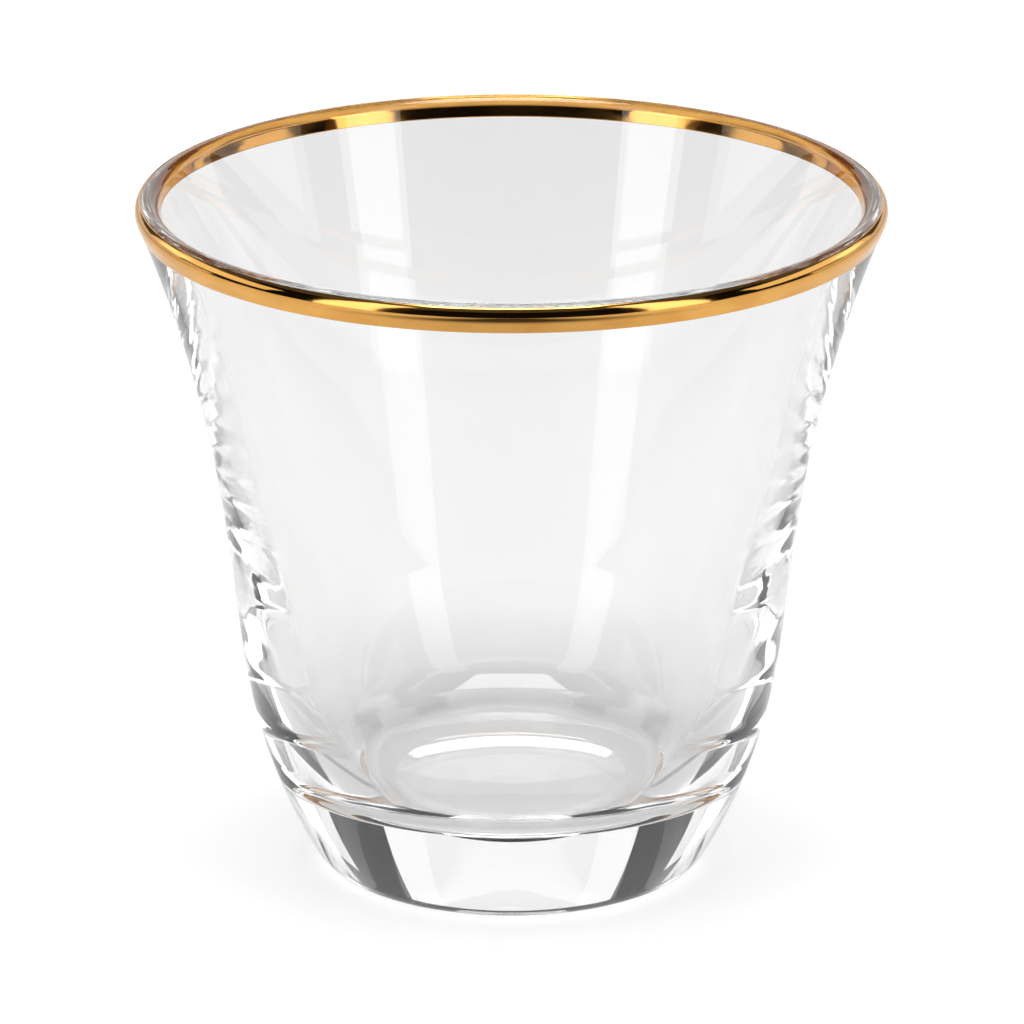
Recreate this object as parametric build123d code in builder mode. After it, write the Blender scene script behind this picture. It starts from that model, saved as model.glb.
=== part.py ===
from build123d import *
import os
from math import cos, radians, sin

os.makedirs("parts", exist_ok=True)

# Clear glass coffee cup without a handle: a flared wall on a heavy base, and a gold band fired
# on the outside of the lip. Millimetres. Z is the cup's axis, and it stands on z = 0.

# Whole cup
rim_diameter = 70.0
cup_height = 65.35

# Lip and outer wall
lip_thickness = 2.3
waist_top_diameter = 53.4
waist_top_height = 32.4
waist_bottom_diameter = 50.7
waist_bottom_height = 21.6

# Wall, measured level at the two ends of the waist, and how far the inner wall's straight taper
# runs on above the waist
waist_top_wall = 3.5
waist_bottom_wall = 4.45
bore_rise = 7.8

# Foot, with its ring and the hollow inside the ring
foot_diameter = 31.2
heel_radius = 3.5
foot_ring_width = 3.4
punt_depth = 0.15

# Inside floor
floor_height = 9.2
floor_diameter = 25.0
floor_corner_radius = 5.6

# Gold band: how far it climbs over the lip, measured up from level, and how far it runs down
# the wall from where the lip's round ends
gold_thickness = 0.1
gold_climb_angle = 55.0
gold_run = 1.0


def blend(start, inward, circle_centre, circle_radius, side):
    """Find the arc that leaves start square to inward and touches a circle.

    side is 1 for the touch nearer the arc's centre, and -1 for the one on the circle's far side.
    Gives the point where they touch and the arc's own centre.
    """
    span = circle_centre - start
    reach = span.dot(span) - circle_radius**2
    radius = reach / (2 * (side * circle_radius + inward.dot(span)))
    arc_centre = start + inward * radius
    share = side * circle_radius / (radius + side * circle_radius)
    touch = circle_centre + (arc_centre - circle_centre) * share
    return touch, arc_centre


def outward_from(lower, upper):
    """Give the unit vector square to a wall line, pointing away from the axis."""
    line = (upper - lower).normalized()
    return Vector(line.Y, -line.X)


level = Vector(1, 0)

# Lip: a full round on top of the wall
glass_rim_radius = rim_diameter / 2 - gold_thickness
lip_radius = lip_thickness / 2
lip_centre = Vector(glass_rim_radius - lip_radius, cup_height - lip_radius)
lip_top = lip_centre + Vector(0, lip_radius)

# Outer wall: straight waist, flare above it and belly below it
waist_top = Vector(waist_top_diameter / 2, waist_top_height)
waist_bottom = Vector(waist_bottom_diameter / 2, waist_bottom_height)
waist_up = (waist_top - waist_bottom).normalized()
waist_out = outward_from(waist_bottom, waist_top)
flare_end, flare_centre = blend(waist_top, waist_out, lip_centre, lip_radius, 1)

foot_edge = Vector(foot_diameter / 2, 0)
heel_centre = foot_edge + Vector(0, heel_radius)
heel_start = blend(waist_bottom, -waist_out, heel_centre, heel_radius, -1)[0]

punt_edge = foot_edge - level * foot_ring_width
punt_top = Vector(0, punt_depth)

# Inner wall: a straight taper, with its own flare above it and the bowl below it
bore_waist = waist_top - level * waist_top_wall
bore_bottom = waist_bottom - level * waist_bottom_wall
bore_up = (bore_waist - bore_bottom).normalized()
bore_top = bore_waist + bore_up * bore_rise
bore_out = outward_from(bore_bottom, bore_top)
inner_flare_end = blend(bore_top, bore_out, lip_centre, lip_radius, -1)[0]

floor_centre = Vector(0, floor_height)
floor_edge = Vector(floor_diameter / 2, floor_height)
corner_centre = floor_edge + Vector(0, floor_corner_radius)
bowl_end = blend(bore_bottom, -bore_out, corner_centre, floor_corner_radius, -1)[0]

# Cup body, turned from its half section
with BuildPart() as cup_body:
    with BuildSketch(Plane.XZ):
        with BuildLine():
            TangentArc(punt_top, punt_edge, tangent=level)
            Line(punt_edge, foot_edge)
            TangentArc(foot_edge, heel_start, tangent=level)
            TangentArc(waist_bottom, heel_start, tangent=-waist_up)
            Line(waist_bottom, waist_top)
            TangentArc(waist_top, flare_end, tangent=waist_up)
            TangentArc(lip_top, flare_end, tangent=level)
            TangentArc(lip_top, inner_flare_end, tangent=-level)
            TangentArc(bore_top, inner_flare_end, tangent=bore_up)
            Line(bore_top, bore_bottom)
            TangentArc(bore_bottom, bowl_end, tangent=-bore_up)
            TangentArc(floor_edge, bowl_end, tangent=level)
            Line(floor_edge, floor_centre)
            Line(floor_centre, punt_top)
        make_face()
    revolve(axis=Axis.Z)

cup_body.part.label = "cup_body"
export_step(cup_body.part, "parts/cup_body.step")

# Gold band, a skin on the outside of the lip and the top of the flare
lip_out = (flare_end - lip_centre).normalized()
lip_up = Vector(-lip_out.Y, lip_out.X)
climb = Vector(cos(radians(gold_climb_angle)), sin(radians(gold_climb_angle)))
gold_lip_radius = lip_radius + gold_thickness
flare_radius = (flare_centre - flare_end).dot(lip_out)
gold_turn = gold_run / flare_radius
gold_foot_out = lip_out * cos(gold_turn) + lip_up * sin(gold_turn)
gold_top_inside = lip_centre + climb * lip_radius
gold_top_outside = lip_centre + climb * gold_lip_radius
gold_bend_outside = lip_centre + lip_out * gold_lip_radius
gold_foot_inside = flare_centre - gold_foot_out * flare_radius
gold_foot_outside = flare_centre - gold_foot_out * (flare_radius - gold_thickness)

with BuildPart() as gold_band:
    with BuildSketch(Plane.XZ):
        with BuildLine():
            TangentArc(flare_end, gold_top_inside, tangent=lip_up)
            Line(gold_top_inside, gold_top_outside)
            TangentArc(gold_bend_outside, gold_top_outside, tangent=lip_up)
            TangentArc(gold_bend_outside, gold_foot_outside, tangent=-lip_up)
            Line(gold_foot_outside, gold_foot_inside)
            TangentArc(flare_end, gold_foot_inside, tangent=-lip_up)
        make_face()
    revolve(axis=Axis.Z)

gold_band.part.label = "gold_band"
export_step(gold_band.part, "parts/gold_band.step")
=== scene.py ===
from math import atan2, cos, pi, radians, sin, tan

import bpy
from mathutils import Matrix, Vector


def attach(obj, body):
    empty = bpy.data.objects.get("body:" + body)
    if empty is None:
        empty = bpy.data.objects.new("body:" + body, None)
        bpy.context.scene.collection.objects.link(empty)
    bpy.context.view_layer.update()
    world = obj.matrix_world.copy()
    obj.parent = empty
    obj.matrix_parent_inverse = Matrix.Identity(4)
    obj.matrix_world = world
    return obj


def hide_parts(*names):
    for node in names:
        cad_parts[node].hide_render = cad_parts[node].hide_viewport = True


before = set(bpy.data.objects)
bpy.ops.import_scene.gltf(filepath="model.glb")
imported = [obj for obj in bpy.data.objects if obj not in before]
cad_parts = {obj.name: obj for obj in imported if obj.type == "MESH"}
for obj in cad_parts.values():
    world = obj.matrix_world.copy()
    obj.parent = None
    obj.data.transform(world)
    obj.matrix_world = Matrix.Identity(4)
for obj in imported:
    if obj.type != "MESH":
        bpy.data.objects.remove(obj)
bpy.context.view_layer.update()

# Clear glass coffee cup without a handle, with a gold band round the lip.
# Lengths are in millimetres and become metres where a piece or the stage is made.

MM = 0.001
FULL_TURN = 2 * pi
TURN_STEPS = 320
WELD = 1e-7

# The cup, as in the part's source
rim_diameter = 70.0
cup_height = 65.35
lip_thickness = 2.3
waist_top_diameter = 53.4
waist_top_height = 32.4
waist_bottom_diameter = 50.7
waist_bottom_height = 21.6
waist_top_wall = 3.5
waist_bottom_wall = 4.45
bore_rise = 7.8
foot_diameter = 31.2
heel_radius = 3.5
foot_ring_width = 3.4
punt_depth = 0.15
floor_height = 9.2
floor_diameter = 25.0
floor_corner_radius = 5.6
gold_climb_angle = 55.0
gold_run = 1.0

# The gold's place on the glass: its skin is sunk a little, so that no two faces lie on each other
gold_room = 0.1
gold_proud = 0.06
gold_sunk = 0.02

# How finely each part of the section is drawn
line_steps = 10
wall_steps = 44
round_steps = 22
corner_steps = 30
gold_steps = 16

# Where the glass ripples fully, where it is calm, and how much ripple is left there
ripple_full_height = 24.0
ripple_calm_height = 42.0
ripple_calm_share = 0.1


def square_to(lower, upper):
    """Give the unit vector square to a wall line, pointing away from the axis."""
    line = (upper - lower).normalized()
    return Vector((line.y, -line.x))


def blend(start, inward, circle_centre, circle_radius, side):
    """Find the arc that leaves start square to inward and touches a circle."""
    span = circle_centre - start
    reach = span.dot(span) - circle_radius**2
    radius = reach / (2 * (side * circle_radius + inward.dot(span)))
    arc_centre = start + inward * radius
    share = side * circle_radius / (radius + side * circle_radius)
    return circle_centre + (arc_centre - circle_centre) * share, arc_centre


def in_scene(point):
    """Put a point of the half section, across and up, into the scene."""
    return Vector((point.x, 0.0, point.y)) * MM


# Half section: lip, outer wall, foot and inner wall

lip_radius = lip_thickness / 2
lip_centre = Vector((rim_diameter / 2 - gold_room - lip_radius, cup_height - lip_radius))
lip_top = lip_centre + Vector((0.0, lip_radius))

waist_top = Vector((waist_top_diameter / 2, waist_top_height))
waist_bottom = Vector((waist_bottom_diameter / 2, waist_bottom_height))
waist_out = square_to(waist_bottom, waist_top)
flare_end, flare_centre = blend(waist_top, waist_out, lip_centre, lip_radius, 1)

foot_edge = Vector((foot_diameter / 2, 0.0))
heel_centre = foot_edge + Vector((0.0, heel_radius))
heel_start, belly_centre = blend(waist_bottom, -waist_out, heel_centre, heel_radius, -1)
punt_edge = foot_edge - Vector((foot_ring_width, 0.0))
punt_top = Vector((0.0, punt_depth))
punt_radius = (punt_edge.x**2 + punt_depth**2) / (2 * punt_depth)
punt_centre = punt_top - Vector((0.0, punt_radius))

bore_waist = waist_top - Vector((waist_top_wall, 0.0))
bore_bottom = waist_bottom - Vector((waist_bottom_wall, 0.0))
bore_top = bore_waist + (bore_waist - bore_bottom).normalized() * bore_rise
bore_out = square_to(bore_bottom, bore_top)
inner_flare_end, inner_flare_centre = blend(bore_top, bore_out, lip_centre, lip_radius, -1)
floor_centre = Vector((0.0, floor_height))
floor_edge = Vector((floor_diameter / 2, floor_height))
corner_centre = floor_edge + Vector((0.0, floor_corner_radius))
bowl_end, bowl_centre = blend(bore_bottom, -bore_out, corner_centre, floor_corner_radius, -1)


# Modelling by hand: one vertex is drawn along the section and the section is turned

def begin_section(name, point):
    """Start a piece as one vertex at a point of the section, in edit mode."""
    bpy.ops.object.select_all(action="DESELECT")
    bpy.ops.mesh.primitive_plane_add(size=MM)
    piece = bpy.context.object
    piece.name = name
    bpy.ops.object.mode_set(mode="EDIT")
    bpy.ops.mesh.select_all(action="SELECT")
    bpy.ops.mesh.merge(type="CENTER")
    bpy.ops.transform.translate(value=in_scene(point))
    return piece


def draw_line(start, end, steps):
    """Draw the last vertex on along a straight line."""
    step = in_scene(end - start) / steps
    for _ in range(steps):
        bpy.ops.mesh.extrude_region_move(TRANSFORM_OT_translate={"value": step})


def draw_arc(start, centre, end, steps):
    """Draw the last vertex on along an arc, the shorter way round its centre."""
    turn_from = atan2(start.y - centre.y, start.x - centre.x)
    turn_to = atan2(end.y - centre.y, end.x - centre.x)
    turn = (turn_to - turn_from + pi) % FULL_TURN - pi
    bpy.ops.mesh.spin(steps=steps, angle=turn, center=in_scene(centre), axis=(0, 1, 0))


def turn_section(piece):
    """Turn the drawn section round the cup's axis and close the mesh."""
    bpy.ops.mesh.select_all(action="SELECT")
    bpy.ops.mesh.spin(steps=TURN_STEPS, angle=FULL_TURN, center=(0, 0, 0), axis=(0, 0, 1))
    bpy.ops.mesh.select_all(action="SELECT")
    bpy.ops.mesh.remove_doubles(threshold=WELD)
    bpy.ops.mesh.normals_make_consistent(inside=False)
    bpy.ops.object.mode_set(mode="OBJECT")
    bpy.ops.object.shade_smooth()
    return piece


def make_glass_cup():
    piece = begin_section("clear_glass_cup", punt_top)
    draw_arc(punt_top, punt_centre, punt_edge, line_steps)
    draw_line(punt_edge, foot_edge, line_steps)
    draw_arc(foot_edge, heel_centre, heel_start, round_steps)
    draw_arc(heel_start, belly_centre, waist_bottom, wall_steps)
    draw_line(waist_bottom, waist_top, line_steps)
    draw_arc(waist_top, flare_centre, flare_end, wall_steps)
    draw_arc(flare_end, lip_centre, lip_top, round_steps)
    draw_arc(lip_top, lip_centre, inner_flare_end, round_steps)
    draw_arc(inner_flare_end, inner_flare_centre, bore_top, wall_steps)
    draw_line(bore_top, bore_bottom, line_steps)
    draw_arc(bore_bottom, bowl_centre, bowl_end, wall_steps)
    draw_arc(bowl_end, corner_centre, floor_edge, corner_steps)
    draw_line(floor_edge, floor_centre, line_steps)
    return turn_section(piece)


def make_gold_band():
    climb = Vector((cos(radians(gold_climb_angle)), sin(radians(gold_climb_angle))))
    lip_out = (flare_end - lip_centre).normalized()
    flare_radius = (flare_end - flare_centre).length
    lip_up = Vector((-lip_out.y, lip_out.x))
    foot_turn = gold_run / flare_radius
    foot_out = lip_out * cos(foot_turn) + lip_up * sin(foot_turn)

    top_outside = lip_centre + climb * (lip_radius + gold_proud)
    bend_outside = lip_centre + lip_out * (lip_radius + gold_proud)
    foot_outside = flare_centre - foot_out * (flare_radius - gold_proud)
    foot_inside = flare_centre - foot_out * (flare_radius + gold_sunk)
    bend_inside = lip_centre + lip_out * (lip_radius - gold_sunk)
    top_inside = lip_centre + climb * (lip_radius - gold_sunk)

    piece = begin_section("gold_lip_band", top_outside)
    draw_arc(top_outside, lip_centre, bend_outside, gold_steps)
    draw_arc(bend_outside, flare_centre, foot_outside, gold_steps)
    draw_line(foot_outside, foot_inside, 1)
    draw_arc(foot_inside, flare_centre, bend_inside, gold_steps)
    draw_arc(bend_inside, lip_centre, top_inside, gold_steps)
    draw_line(top_inside, top_outside, 1)
    return turn_section(piece)


cup = make_glass_cup()
band = make_gold_band()


# Finishes

def new_group(name, inputs, outputs):
    """Make an empty shader node group with named sockets."""
    group = bpy.data.node_groups.new(name, "ShaderNodeTree")
    for socket_name, kind, start_value in inputs:
        socket = group.interface.new_socket(socket_name, in_out="INPUT", socket_type=kind)
        if start_value is not None:
            socket.default_value = start_value
    for socket_name, kind in outputs:
        group.interface.new_socket(socket_name, in_out="OUTPUT", socket_type=kind)
    return group, group.nodes.new("NodeGroupInput"), group.nodes.new("NodeGroupOutput")


def do_math(nodes, links, operation, first, second):
    """Join two values by one step of arithmetic; the second may be a plain number."""
    step = nodes.new("ShaderNodeMath")
    step.operation = operation
    links.new(first, step.inputs[0])
    if isinstance(second, float):
        step.inputs[1].default_value = second
    else:
        links.new(second, step.inputs[1])
    return step.outputs["Value"]


def make_slow_ripple():
    """Ripple that runs up and down a turned wall, as a height and as a soft mask."""
    group, given, made = new_group(
        "slow_ripple",
        [
            ("Place", "NodeSocketVector", None),
            ("Around", "NodeSocketFloat", 1.0),
            ("Upward", "NodeSocketFloat", 1.0),
        ],
        [("Height", "NodeSocketFloat"), ("Mask", "NodeSocketFloat")],
    )
    nodes = group.nodes
    links = group.links
    stretch = nodes.new("ShaderNodeCombineXYZ")
    links.new(given.outputs["Around"], stretch.inputs["X"])
    links.new(given.outputs["Around"], stretch.inputs["Y"])
    links.new(given.outputs["Upward"], stretch.inputs["Z"])
    spread = nodes.new("ShaderNodeVectorMath")
    spread.operation = "MULTIPLY"
    links.new(given.outputs["Place"], spread.inputs[0])
    links.new(stretch.outputs["Vector"], spread.inputs[1])
    swell = nodes.new("ShaderNodeTexNoise")
    swell.inputs["Scale"].default_value = 1.0
    swell.inputs["Detail"].default_value = 2.0
    swell.inputs["Roughness"].default_value = 0.35
    links.new(spread.outputs["Vector"], swell.inputs["Vector"])
    soften = nodes.new("ShaderNodeMapRange")
    soften.interpolation_type = "SMOOTHSTEP"
    soften.inputs["From Min"].default_value = 0.35
    soften.inputs["From Max"].default_value = 0.65
    links.new(swell.outputs["Fac"], soften.inputs["Value"])
    links.new(swell.outputs["Fac"], made.inputs["Height"])
    links.new(soften.outputs["Result"], made.inputs["Mask"])
    return group


def new_material(name, ripple, around, upward):
    """Start a material with the ripple group on the piece's own coordinates."""
    material = bpy.data.materials.new(name)
    material.use_nodes = True
    nodes = material.node_tree.nodes
    links = material.node_tree.links
    place = nodes.new("ShaderNodeTexCoord")
    wave = nodes.new("ShaderNodeGroup")
    wave.node_tree = ripple
    wave.inputs["Around"].default_value = around
    wave.inputs["Upward"].default_value = upward
    links.new(place.outputs["Object"], wave.inputs["Place"])
    return material, nodes, links, wave


def tint_between(nodes, links, mask, first, second, shader):
    """Let the base colour drift between two colours with a mask."""
    drift = nodes.new("ShaderNodeMix")
    drift.data_type = "RGBA"
    drift.inputs["A"].default_value = (*first, 1.0)
    drift.inputs["B"].default_value = (*second, 1.0)
    links.new(mask, drift.inputs["Factor"])
    links.new(drift.outputs["Result"], shader.inputs["Base Color"])


def raise_surface(nodes, links, height, shader, strength, distance):
    """Bump the surface with a height."""
    bump = nodes.new("ShaderNodeBump")
    bump.inputs["Strength"].default_value = strength
    bump.inputs["Distance"].default_value = distance
    links.new(height, bump.inputs["Height"])
    links.new(bump.outputs["Normal"], shader.inputs["Normal"])


def calm_above_waist(nodes, links, wave):
    """Let the ripple die out above the waist, where the wall is smooth and fire polished."""
    place = nodes.new("ShaderNodeTexCoord")
    parts = nodes.new("ShaderNodeSeparateXYZ")
    links.new(place.outputs["Object"], parts.inputs["Vector"])
    calm = nodes.new("ShaderNodeMapRange")
    calm.inputs["From Min"].default_value = ripple_full_height * MM
    calm.inputs["From Max"].default_value = ripple_calm_height * MM
    calm.inputs["To Min"].default_value = 1.0
    calm.inputs["To Max"].default_value = ripple_calm_share
    links.new(parts.outputs["Z"], calm.inputs["Value"])
    return do_math(nodes, links, "MULTIPLY", wave.outputs["Height"], calm.outputs["Result"])


def make_clear_glass(ripple):
    material, nodes, links, wave = new_material("clear_glass", ripple, around=90.0, upward=14.0)
    shader = nodes["Principled BSDF"]
    shader.inputs["Roughness"].default_value = 0.0
    shader.inputs["IOR"].default_value = 1.52
    shader.inputs["Transmission Weight"].default_value = 1.0
    faint_grey = (0.992, 0.992, 0.992)
    clear = (1.0, 1.0, 1.0)
    tint_between(nodes, links, wave.outputs["Mask"], faint_grey, clear, shader)
    height = calm_above_waist(nodes, links, wave)
    raise_surface(nodes, links, height, shader, strength=0.25, distance=0.2 * MM)
    return material


def make_fired_gold(ripple):
    material, nodes, links, wave = new_material("fired_gold", ripple, around=220.0, upward=500.0)
    shader = nodes["Principled BSDF"]
    shader.inputs["Metallic"].default_value = 1.0
    deep_gold = (0.80, 0.40, 0.10)
    light_gold = (0.88, 0.46, 0.12)
    tint_between(nodes, links, wave.outputs["Mask"], deep_gold, light_gold, shader)
    polish = nodes.new("ShaderNodeMapRange")
    polish.inputs["To Min"].default_value = 0.05
    polish.inputs["To Max"].default_value = 0.11
    links.new(wave.outputs["Mask"], polish.inputs["Value"])
    links.new(polish.outputs["Result"], shader.inputs["Roughness"])
    raise_surface(nodes, links, wave.outputs["Height"], shader, strength=0.2, distance=0.1 * MM)
    return material


def finish_piece(piece, material, node):
    piece.data.materials.clear()
    piece.data.materials.append(material)
    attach(piece, "root")
    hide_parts(node)


slow_ripple = make_slow_ripple()
finish_piece(cup, make_clear_glass(slow_ripple), "cup_body")
finish_piece(band, make_fired_gold(slow_ripple), "gold_band")


# Stage: floor, backdrop, boards, cards, lamps and camera, in metres and degrees.
# Azimuth 0 is the camera's side, +90 the right, and 180 behind the cup.
# A sheet or a softbox is given by the azimuths and elevations that it fills, seen from the cup.

SHEET_STEPS = 64

FLOOR_RADIUS = 2.5
FLOOR_SIDES = 96
FLOOR_WHITE = 0.8
FLOOR_GLOW = 0.20
FLOOR_LIFT = 0.37

BACKDROP_TOP = 8.0
BACKDROP_GLOW = 0.95
BOARD_TOP = 25.0
BACK_BOARD_SPAN = (156.0, 204.0)
RIGHT_BOARD_SPAN = (118.0, 139.0)
LEFT_BOARD_SPAN = (221.0, 242.0)

FRONT_SPLIT = 16.0
FRONT_BOARD_SPAN = (-60.0, 60.0)
FRONT_GLOW = 0.25

CARD_DISTANCE = 1.35
CARD_BLACK = 0.02
FRONT_CARD_SPAN = (-100.0, 100.0)
FRONT_CARD_TOP = 45.0
HORIZON_SPAN = (100.0, 260.0)
HORIZON_LOW = 5.2
HORIZON_TOP = 6.4

# Painted shade: a dark sheet on the floor in front of the cup, seen only in the gold's reflections
SHADE_SHEET_REACH = 0.4
SHADE_SHEET_LIFT = 0.0005
SHADE_SHEET_DARKEST = 0.95
SHADE_SHEET_FRONT_FADE = (-0.03, -0.14)
SHADE_SHEET_SIDE_FADE = (0.14, 0.03)

ROOM_GLOW = 0.08

LAMP_DISTANCE = 0.95
TOP_HEIGHT = 1.0
TOP_SIZE = 0.55
TOP_GLOW = 7.0
STRIP_AZIMUTH = 50.0
STRIP_SPREAD = 20.0
STRIP_LOW = 0.5
STRIP_TOP = 58.0
STRIP_GLOW = 2.0
PANEL_AZIMUTH = 105.0
PANEL_SPREAD = 55.0
PANEL_LOW = 15.0
PANEL_TOP = 36.0
PANEL_GLOW = 1.0

CAMERA_PITCH = radians(18.67)
CAMERA_DISTANCE = 0.85
CAMERA_AIM_HEIGHT = 34.33 * MM
PICTURE_WIDTH = 1024
FOCAL_PIXELS = 9055.0
SHIFT_PIXELS = 0.6
SENSOR_WIDTH = 36.0

LIGHT_BOUNCES = 64


def shown_to_eye(nodes, links):
    """Give 1 where the camera, a mirror or glass looks, and 0 for light that falls on things."""
    looks = nodes.new("ShaderNodeLightPath").outputs
    eye = do_math(nodes, links, "MAXIMUM", looks["Is Camera Ray"], looks["Is Glossy Ray"])
    seen = do_math(nodes, links, "MAXIMUM", eye, looks["Is Transmission Ray"])
    return looks, seen


def stage_material(name, colour):
    """Start a dull grey material that can also glow white."""
    material = bpy.data.materials.new(name)
    material.use_nodes = True
    nodes = material.node_tree.nodes
    shader = nodes["Principled BSDF"]
    shader.inputs["Base Color"].default_value = (colour, colour, colour, 1.0)
    shader.inputs["Roughness"].default_value = 1.0
    shader.inputs["Specular IOR Level"].default_value = 0.0
    shader.inputs["Emission Color"].default_value = (1.0, 1.0, 1.0, 1.0)
    return material, nodes, material.node_tree.links, shader


def make_floor():
    bpy.ops.object.select_all(action="DESELECT")
    bpy.ops.mesh.primitive_circle_add(vertices=FLOOR_SIDES, radius=FLOOR_RADIUS, fill_type="NGON")
    floor = bpy.context.object
    floor.name = "floor"
    material, nodes, links, shader = stage_material("pale_floor", FLOOR_WHITE)
    looks, seen = shown_to_eye(nodes, links)
    glow = do_math(nodes, links, "MULTIPLY", seen, FLOOR_GLOW)
    lift = do_math(nodes, links, "MULTIPLY", looks["Is Camera Ray"], FLOOR_LIFT)
    links.new(do_math(nodes, links, "ADD", glow, lift), shader.inputs["Emission Strength"])
    floor.data.materials.append(material)


def ring_point(azimuth, distance):
    """Give the point of the floor at an azimuth and a distance from the cup's axis."""
    turn = radians(azimuth)
    return Vector((distance * sin(turn), -distance * cos(turn), 0.0))


def stand_sheet(name, span, low, top, distance, material):
    """Stand a curved sheet round the cup, between two azimuths and two elevations."""
    first, last = span
    bpy.ops.object.select_all(action="DESELECT")
    bpy.ops.mesh.primitive_plane_add(size=MM)
    sheet = bpy.context.object
    sheet.name = name
    bpy.ops.object.mode_set(mode="EDIT")
    bpy.ops.mesh.select_all(action="SELECT")
    bpy.ops.mesh.merge(type="CENTER")
    foot = ring_point(first, distance) + Vector((0.0, 0.0, distance * tan(radians(low))))
    rise = distance * (tan(radians(top)) - tan(radians(low)))
    bpy.ops.transform.translate(value=foot)
    bpy.ops.mesh.extrude_region_move(TRANSFORM_OT_translate={"value": (0.0, 0.0, rise)})
    bpy.ops.mesh.select_all(action="SELECT")
    turn = radians(first - last)
    bpy.ops.mesh.spin(steps=SHEET_STEPS, angle=turn, center=(0, 0, 0), axis=(0, 0, 1))
    bpy.ops.object.mode_set(mode="OBJECT")
    sheet.data.materials.append(material)
    return sheet


def board_material(name, strength):
    """Make a board that glows for the eye and lights nothing."""
    material, nodes, links, shader = stage_material(name, 0.0)
    seen = shown_to_eye(nodes, links)[1]
    glow = do_math(nodes, links, "MULTIPLY", seen, strength)
    links.new(glow, shader.inputs["Emission Strength"])
    return material


def make_backdrop():
    white = board_material("white_backdrop", BACKDROP_GLOW)
    stand_sheet("backdrop", (0.0, 360.0), 0.0, BACKDROP_TOP, FLOOR_RADIUS, white)
    stand_sheet("back_board", BACK_BOARD_SPAN, BACKDROP_TOP, BOARD_TOP, FLOOR_RADIUS, white)
    stand_sheet("right_board", RIGHT_BOARD_SPAN, BACKDROP_TOP, BOARD_TOP, FLOOR_RADIUS, white)
    stand_sheet("left_board", LEFT_BOARD_SPAN, BACKDROP_TOP, BOARD_TOP, FLOOR_RADIUS, white)
    grey = board_material("grey_board", FRONT_GLOW)
    front = stand_sheet(
        "front_board", FRONT_BOARD_SPAN, BACKDROP_TOP, FRONT_SPLIT, FLOOR_RADIUS, grey
    )
    front.visible_camera = False
    front.visible_glossy = False


def make_dark_cards():
    """Stand dark cards that only reflections or the glass see, so that they get dark lines."""
    black = stage_material("dark_card", CARD_BLACK)[0]
    low = stand_sheet("low_front_card", FRONT_CARD_SPAN, 0.0, FRONT_SPLIT, CARD_DISTANCE, black)
    low.visible_transmission = False
    high = stand_sheet(
        "high_front_card", FRONT_CARD_SPAN, FRONT_SPLIT, FRONT_CARD_TOP, CARD_DISTANCE, black
    )
    horizon = stand_sheet(
        "horizon_card", HORIZON_SPAN, HORIZON_LOW, HORIZON_TOP, CARD_DISTANCE, black
    )
    horizon.visible_shadow = False
    for card in (low, high, horizon):
        card.visible_camera = False


def fade(nodes, links, value, span, strongest):
    """Rise from nothing at the span's start to the strongest value at its end."""
    ramp = nodes.new("ShaderNodeMapRange")
    ramp.interpolation_type = "SMOOTHSTEP"
    ramp.inputs["From Min"].default_value = span[0]
    ramp.inputs["From Max"].default_value = span[1]
    ramp.inputs["To Max"].default_value = strongest
    links.new(value, ramp.inputs["Value"])
    return ramp.outputs["Result"]


def make_reflected_front_shade():
    """Lay a dark sheet in front of the cup that fades in and is seen only in reflections: painted
    shade on the floor in front, so that the gold darkens in its middle.
    """
    bpy.ops.object.select_all(action="DESELECT")
    bpy.ops.mesh.primitive_plane_add(size=2 * SHADE_SHEET_REACH)
    shade_sheet = bpy.context.object
    shade_sheet.name = "reflected_front_shade"
    bpy.ops.object.mode_set(mode="EDIT")
    bpy.ops.mesh.select_all(action="SELECT")
    bpy.ops.transform.translate(value=(0.0, -SHADE_SHEET_REACH, SHADE_SHEET_LIFT))
    bpy.ops.object.mode_set(mode="OBJECT")
    material, nodes, links, shader = stage_material("reflected_front_shade", CARD_BLACK)
    place = nodes.new("ShaderNodeTexCoord")
    parts = nodes.new("ShaderNodeSeparateXYZ")
    links.new(place.outputs["Object"], parts.inputs["Vector"])
    # The painted shade fades in towards the front and towards the middle
    forward = fade(nodes, links, parts.outputs["Y"], SHADE_SHEET_FRONT_FADE, SHADE_SHEET_DARKEST)
    aside = nodes.new("ShaderNodeMath")
    aside.operation = "ABSOLUTE"
    links.new(parts.outputs["X"], aside.inputs[0])
    middle = fade(nodes, links, aside.outputs["Value"], SHADE_SHEET_SIDE_FADE, 1.0)
    links.new(do_math(nodes, links, "MULTIPLY", forward, middle), shader.inputs["Alpha"])
    shade_sheet.data.materials.append(material)
    shade_sheet.visible_camera = False
    shade_sheet.visible_diffuse = False
    shade_sheet.visible_shadow = False
    shade_sheet.visible_transmission = False


def make_room():
    world = bpy.data.worlds.new("room")
    bpy.context.scene.world = world
    world.use_nodes = True
    room = world.node_tree.nodes["Background"]
    room.inputs["Color"].default_value = (1.0, 1.0, 1.0, 1.0)
    room.inputs["Strength"].default_value = ROOM_GLOW


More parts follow.
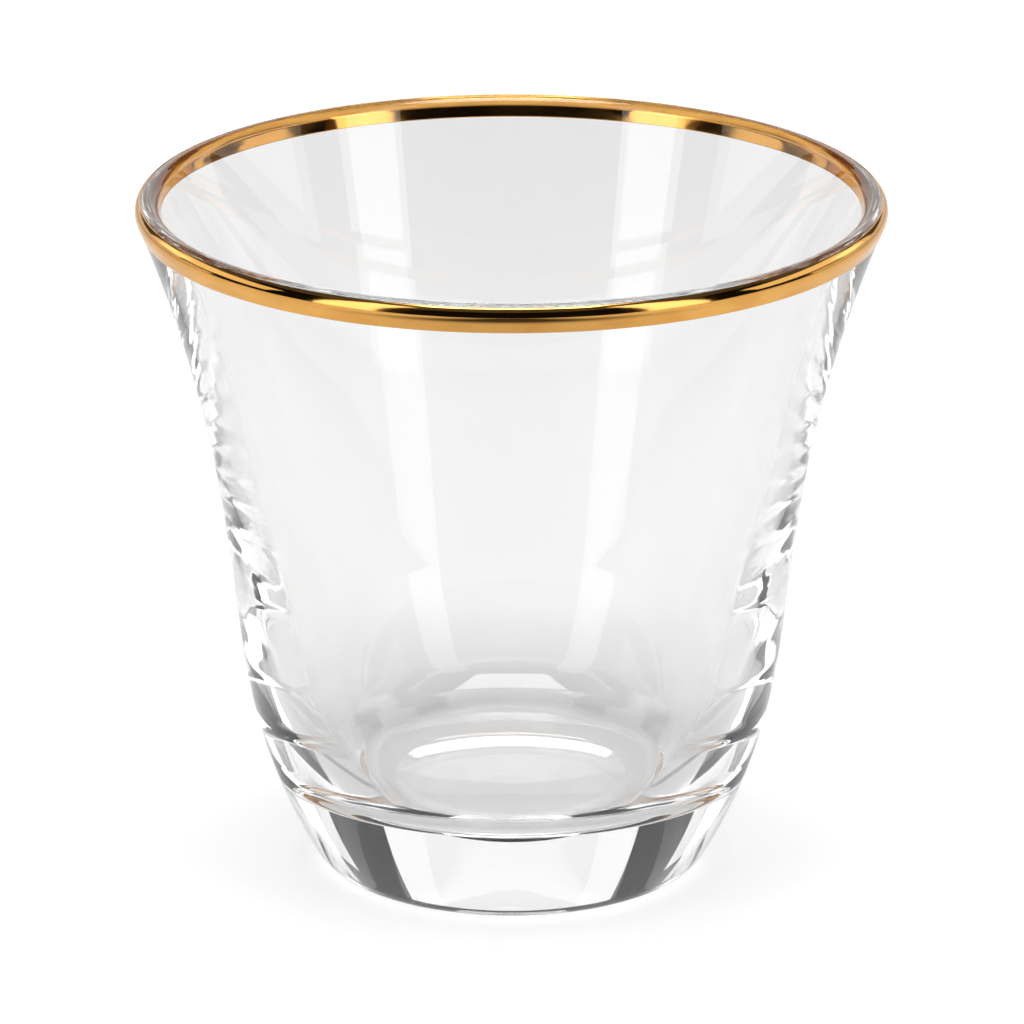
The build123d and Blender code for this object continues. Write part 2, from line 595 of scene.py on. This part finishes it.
def place_lamp(name, place, way, width, height, radiance):
    bpy.ops.object.light_add(type="AREA", location=place)
    lamp = bpy.context.object
    lamp.name = name
    lamp.rotation_euler = way.to_track_quat("-Z", "Y").to_euler()
    lamp.data.shape = "RECTANGLE"
    lamp.data.size = width
    lamp.data.size_y = height
    lamp.data.energy = radiance * width * height * pi
    lamp.visible_camera = False


def stand_softbox(name, azimuth, spread, low, top, radiance):
    """Stand an upright softbox that fills the given angles as seen from the cup."""
    foot = ring_point(azimuth, LAMP_DISTANCE)
    bottom_height = LAMP_DISTANCE * tan(radians(low))
    top_height = LAMP_DISTANCE * tan(radians(top))
    width = 2 * LAMP_DISTANCE * tan(radians(spread / 2))
    place = foot + Vector((0.0, 0.0, (bottom_height + top_height) / 2))
    place_lamp(name, place, -foot, width, top_height - bottom_height, radiance)


def make_lamps():
    above = Vector((0.0, 0.0, TOP_HEIGHT))
    place_lamp("top_softbox", above, -above, TOP_SIZE, TOP_SIZE, TOP_GLOW)
    for side, turn in (("left", -1), ("right", 1)):
        strip_azimuth = turn * STRIP_AZIMUTH
        panel_azimuth = turn * PANEL_AZIMUTH
        stand_softbox(
            side + "_strip", strip_azimuth, STRIP_SPREAD, STRIP_LOW, STRIP_TOP, STRIP_GLOW
        )
        stand_softbox(
            side + "_panel", panel_azimuth, PANEL_SPREAD, PANEL_LOW, PANEL_TOP, PANEL_GLOW
        )


def make_camera():
    back = CAMERA_DISTANCE * cos(CAMERA_PITCH)
    height = CAMERA_AIM_HEIGHT + CAMERA_DISTANCE * sin(CAMERA_PITCH)
    bpy.ops.object.camera_add(
        location=(0.0, -back, height), rotation=(pi / 2 - CAMERA_PITCH, 0.0, 0.0)
    )
    camera = bpy.context.object
    camera.data.sensor_width = SENSOR_WIDTH
    camera.data.lens = FOCAL_PIXELS / PICTURE_WIDTH * SENSOR_WIDTH
    camera.data.shift_x = SHIFT_PIXELS / PICTURE_WIDTH
    bpy.context.scene.camera = camera


make_floor()
make_backdrop()
make_dark_cards()
make_reflected_front_shade()
make_room()
make_lamps()
make_camera()

scene = bpy.context.scene
scene.view_settings.view_transform = "Standard"
scene.cycles.max_bounces = LIGHT_BOUNCES
scene.cycles.glossy_bounces = LIGHT_BOUNCES
scene.cycles.transmission_bounces = LIGHT_BOUNCES
